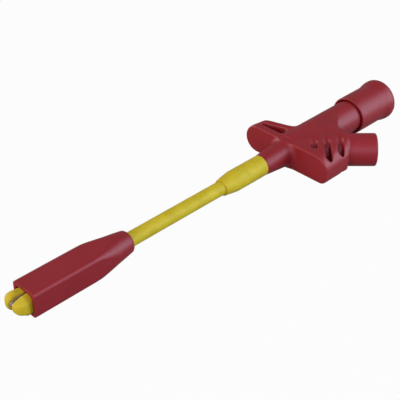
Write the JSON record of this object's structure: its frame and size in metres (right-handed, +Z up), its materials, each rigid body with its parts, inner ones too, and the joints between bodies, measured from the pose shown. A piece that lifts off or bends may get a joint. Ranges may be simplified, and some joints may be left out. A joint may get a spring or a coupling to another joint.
{
  "type": "grabber test hook",
  "caption": "Long insulated test probe: a thumb plunger pushes a pair of hinged jaws out of a tapered hood, and an angled shrouded socket on the finger flange takes the test lead.",
  "frame": {"origin": "grip point between the tips of the closed jaws, on the main axis", "axes": "+X along the main axis from the jaws to the plunger; the finger wings and the lead socket lie in the XY plane with the socket towards -Y; +Z up"},
  "size_m": [0.1593, 0.0401, 0.0144],
  "materials": {
    "red_plastic": "moulded, half gloss",
    "yellow_plastic": "moulded, half gloss",
    "nickel_plate": "nickel plated brass",
    "copper_alloy": "plain, drawn",
    "spring_steel": "drawn wire"
  },
  "bodies": {
    "housing": {"hood": "red_plastic", "shaft_tube": "yellow_plastic", "shaft_ferrule": "yellow_plastic", "front_bush": "copper_alloy", "body_housing": "red_plastic", "contact_bush": "copper_alloy", "contact_link": "copper_alloy", "socket_contact": "nickel_plate", "socket_sleeve": "red_plastic", "spring_seat": "nickel_plate", "return_spring": "spring_steel"},
    "plunger": {"plunger_cap": "red_plastic", "plunger_post": "yellow_plastic", "push_rod": "nickel_plate", "jaw_carrier": "nickel_plate", "jaw_pivot_pin": "spring_steel", "jaw_spring": "spring_steel"},
    "left_jaw": {"left_jaw_shell": "yellow_plastic", "left_jaw_contact": "nickel_plate"},
    "right_jaw": {"right_jaw_shell": "yellow_plastic", "right_jaw_contact": "nickel_plate"}
  },
  "joints": [
    {"name": "plunger_slide", "type": "slide", "parent": "housing", "child": "plunger", "axis": [-1, 0, 0], "range_m": [0, 0.009], "stiffness_N_per_m": 350, "springref_m": -0.008, "deforming": ["return_spring"]},
    {"name": "left_jaw_pivot", "type": "hinge", "parent": "plunger", "child": "left_jaw", "pos_m": [0.026, 0, 0], "axis": [0, 0, -1], "range_deg": [0, 9.05], "deforming": ["jaw_spring"]},
    {"name": "right_jaw_pivot", "type": "hinge", "parent": "plunger", "child": "right_jaw", "pos_m": [0.026, 0, 0], "axis": [0, 0, 1], "range_deg": [0, 9.05], "deforming": ["jaw_spring"]}
  ],
  "couplings": [
    {"joint": "left_jaw_pivot", "follows": "plunger_slide", "rad_per_m": 17.453},
    {"joint": "right_jaw_pivot", "follows": "plunger_slide", "rad_per_m": 17.453}
  ]
}
